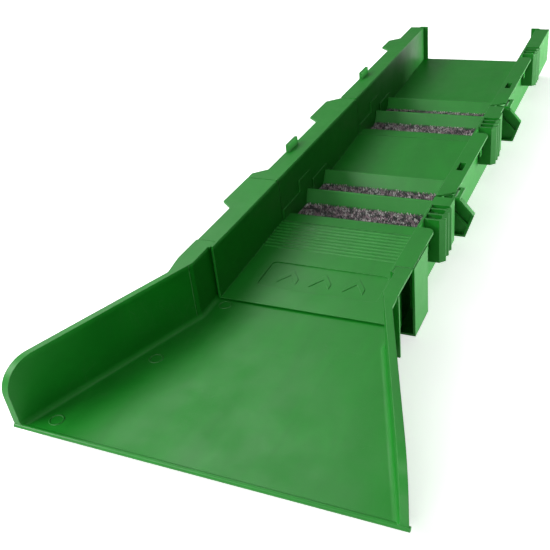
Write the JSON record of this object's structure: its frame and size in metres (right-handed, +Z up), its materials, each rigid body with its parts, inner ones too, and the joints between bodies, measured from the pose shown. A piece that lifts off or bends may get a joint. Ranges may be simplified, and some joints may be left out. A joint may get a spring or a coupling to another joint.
{
  "type": "modular stream sluice",
  "caption": "Long open trough of clip-together plastic sections with a flared mouth, riffle pockets lined with matting and side latches, for washing gravel in a stream.",
  "frame": {"origin": "centre of the assembly's footprint on the ground", "axes": "+Y down the flow from the flared mouth to the outlet, +Z up, +X to the right seen from the mouth"},
  "size_m": [0.462, 1.304, 0.112],
  "materials": {
    "green_plastic": "satin moulded",
    "latch_plastic": "satin moulded",
    "matting": "looped, speckled"
  },
  "bodies": {
    "scoop": {"flared_scoop": "green_plastic"},
    "head": {"head_section": "green_plastic"},
    "section_1": {"riffle_section_1": "green_plastic"},
    "section_2": {"riffle_section_2": "green_plastic"},
    "tray_1": {"riffle_tray_1": "green_plastic"},
    "tray_2": {"riffle_tray_2": "green_plastic"},
    "mat_1": {"pocket_mat_1": "matting"},
    "mat_2": {"pocket_mat_2": "matting"},
    "mat_3": {"pocket_mat_3": "matting"},
    "mat_4": {"pocket_mat_4": "matting"},
    "latch_1": {"side_latch_1": "latch_plastic"},
    "latch_2": {"side_latch_2": "latch_plastic"},
    "latch_3": {"side_latch_3": "latch_plastic"}
  },
  "joints": [
    {"name": "head_lift", "type": "slide", "parent": "scoop", "child": "head", "axis": [0, 0, 1], "range_m": [0, 0.12]},
    {"name": "section_1_lift", "type": "slide", "parent": "head", "child": "section_1", "axis": [0, 0, 1], "range_m": [0, 0.12]},
    {"name": "section_2_lift", "type": "slide", "parent": "section_1", "child": "section_2", "axis": [0, 0, 1], "range_m": [0, 0.12]},
    {"name": "tray_1_lift", "type": "slide", "parent": "section_1", "child": "tray_1", "axis": [0, 0, 1], "range_m": [0, 0.12]},
    {"name": "tray_2_lift", "type": "slide", "parent": "section_2", "child": "tray_2", "axis": [0, 0, 1], "range_m": [0, 0.12]},
    {"name": "mat_1_lift", "type": "slide", "parent": "tray_1", "child": "mat_1", "axis": [0, 0, 1], "range_m": [0, 0.08]},
    {"name": "mat_2_lift", "type": "slide", "parent": "tray_1", "child": "mat_2", "axis": [0, 0, 1], "range_m": [0, 0.08]},
    {"name": "mat_3_lift", "type": "slide", "parent": "tray_2", "child": "mat_3", "axis": [0, 0, 1], "range_m": [0, 0.08]},
    {"name": "mat_4_lift", "type": "slide", "parent": "tray_2", "child": "mat_4", "axis": [0, 0, 1], "range_m": [0, 0.08]},
    {"name": "latch_1_slide", "type": "slide", "parent": "head", "child": "latch_1", "axis": [0, -1, 0], "range_m": [0, 0.014]},
    {"name": "latch_2_slide", "type": "slide", "parent": "section_1", "child": "latch_2", "axis": [0, -1, 0], "range_m": [0, 0.014]},
    {"name": "latch_3_slide", "type": "slide", "parent": "section_2", "child": "latch_3", "axis": [0, -1, 0], "range_m": [0, 0.014]}
  ]
}
